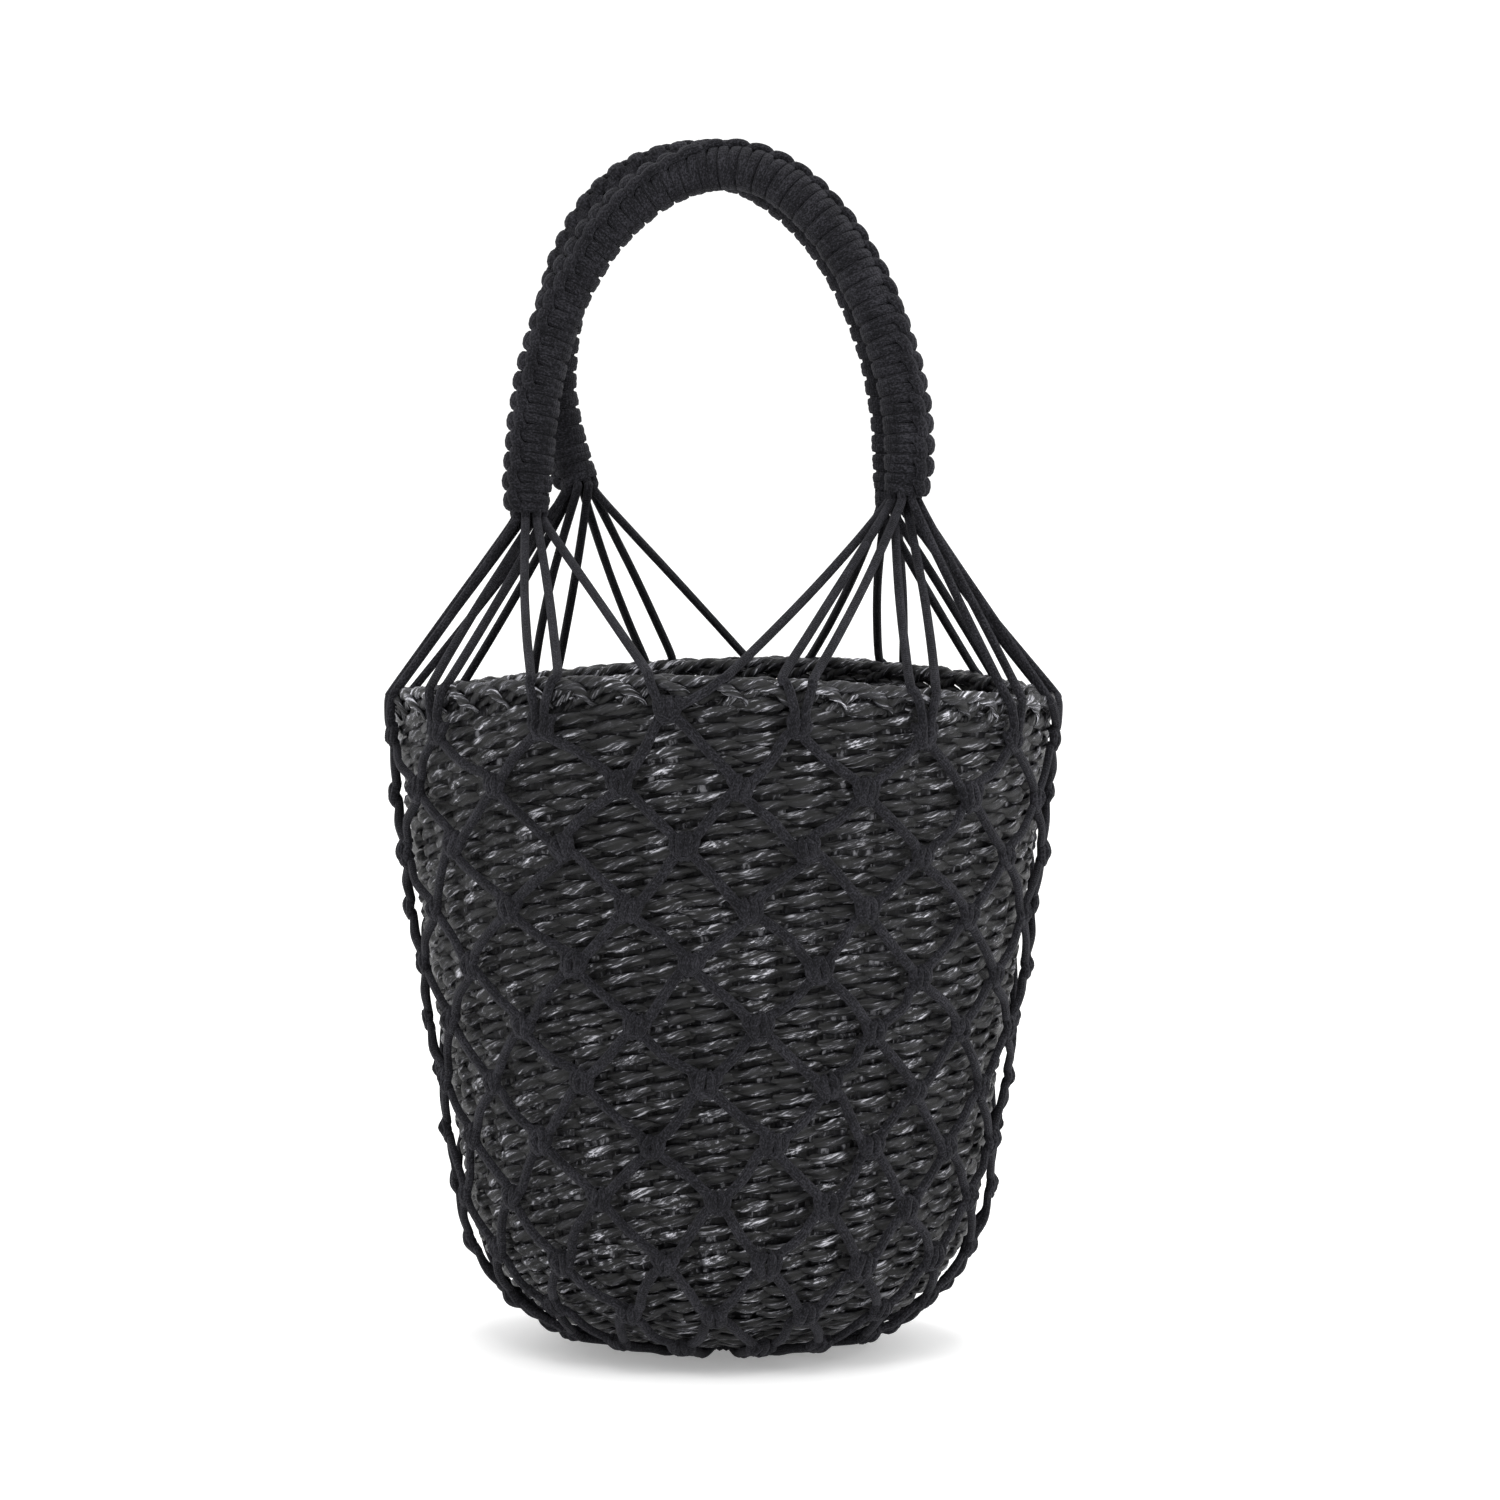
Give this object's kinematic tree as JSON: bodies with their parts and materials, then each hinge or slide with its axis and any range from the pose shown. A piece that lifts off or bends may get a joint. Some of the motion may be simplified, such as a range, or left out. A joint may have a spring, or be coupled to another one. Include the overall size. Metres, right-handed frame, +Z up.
{
  "type": "fishnet bucket bag",
  "caption": "Woven straw bucket bag held in a knotted black cord net, with two arched handles of hitch-wrapped cord joined to the net by gathered cords.",
  "frame": {"origin": "on the floor, under the middle of the bag's box", "axes": "+Z up, -Y the bag's front, +X to its right as seen from the front, so both handles arch along X"},
  "size_m": [0.2506, 0.2528, 0.442],
  "materials": {
    "straw": "matt twisted straw with a faint sheen",
    "cord": "matt braided cotton cord"
  },
  "bodies": {
    "root": {"straw_bucket": "straw", "rim_braid": "straw", "net_wall": "cord", "net_base": "cord", "handle_front": "cord", "handle_back": "cord", "gather_front_left_1": "cord", "gather_front_left_2": "cord", "gather_front_left_3": "cord", "gather_front_left_4": "cord", "gather_front_left_5": "cord", "gather_front_left_6": "cord", "gather_front_left_7": "cord", "gather_front_left_8": "cord", "gather_front_right_1": "cord", "gather_front_right_2": "cord", "gather_front_right_3": "cord", "gather_front_right_4": "cord", "gather_front_right_5": "cord", "gather_front_right_6": "cord", "gather_front_right_7": "cord", "gather_front_right_8": "cord", "gather_back_left_1": "cord", "gather_back_left_2": "cord", "gather_back_left_3": "cord", "gather_back_left_4": "cord", "gather_back_left_5": "cord", "gather_back_left_6": "cord", "gather_back_left_7": "cord", "gather_back_left_8": "cord", "gather_back_right_1": "cord", "gather_back_right_2": "cord", "gather_back_right_3": "cord", "gather_back_right_4": "cord", "gather_back_right_5": "cord", "gather_back_right_6": "cord", "gather_back_right_7": "cord", "gather_back_right_8": "cord"}
  },
  "joints": []
}
